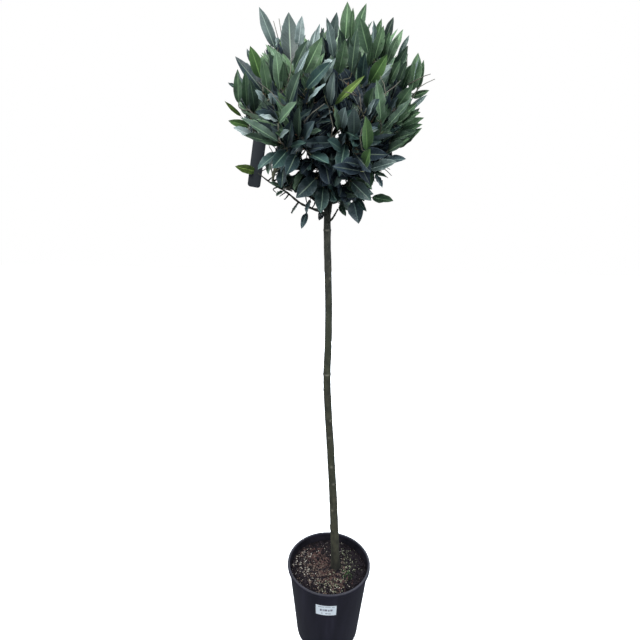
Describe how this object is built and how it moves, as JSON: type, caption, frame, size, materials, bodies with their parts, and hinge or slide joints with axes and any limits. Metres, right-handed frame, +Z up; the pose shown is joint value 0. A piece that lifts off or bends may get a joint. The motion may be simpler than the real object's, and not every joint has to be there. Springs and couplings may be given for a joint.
{
  "type": "potted standard bay topiary",
  "caption": "Potted standard bay tree: a round nursery pot filled with compost, one tall clear stem with a slight lean, and a ball-shaped head of upright evergreen leaves.",
  "frame": {"origin": "centre of the pot's flat underside, on the ground", "axes": "+Z up along the stem; +X to the viewer's right in the reference view; -Y towards the viewer"},
  "size_m": [0.4775, 0.4937, 1.8702],
  "materials": {
    "pot_plastic": "satin",
    "label_film": "matte",
    "compost": "matte",
    "bark": "matte",
    "foliage": "satin",
    "tag_plastic": "satin"
  },
  "bodies": {
    "root": {"pot": "pot_plastic", "pot_label": "label_film", "compost": "compost", "trunk": "bark", "bough_upper_right": "bark", "bough_upper_back_right": "bark", "bough_upper_back_left": "bark", "bough_upper_left": "bark", "bough_upper_front_left": "bark", "bough_upper_front_right": "bark", "bough_right": "bark", "bough_back_right": "bark", "bough_back_left": "bark", "bough_left": "bark", "bough_front_left": "bark", "bough_front_right": "bark", "bough_low_right": "bark", "bough_low_back": "bark", "bough_low_left": "bark", "bough_low_front": "bark", "bough_under": "bark", "plant_tag": "tag_plastic", "leaves_top": "foliage", "leaves_upper_right": "foliage", "leaves_upper_back_right": "foliage", "leaves_upper_back_left": "foliage", "leaves_upper_left": "foliage", "leaves_upper_front_left": "foliage", "leaves_upper_front_right": "foliage", "leaves_right": "foliage", "leaves_back_right": "foliage", "leaves_back_left": "foliage", "leaves_left": "foliage", "leaves_front_left": "foliage", "leaves_front_right": "foliage", "leaves_low_right": "foliage", "leaves_low_back": "foliage", "leaves_low_left": "foliage", "leaves_low_front": "foliage", "leaves_under": "foliage"}
  },
  "joints": []
}
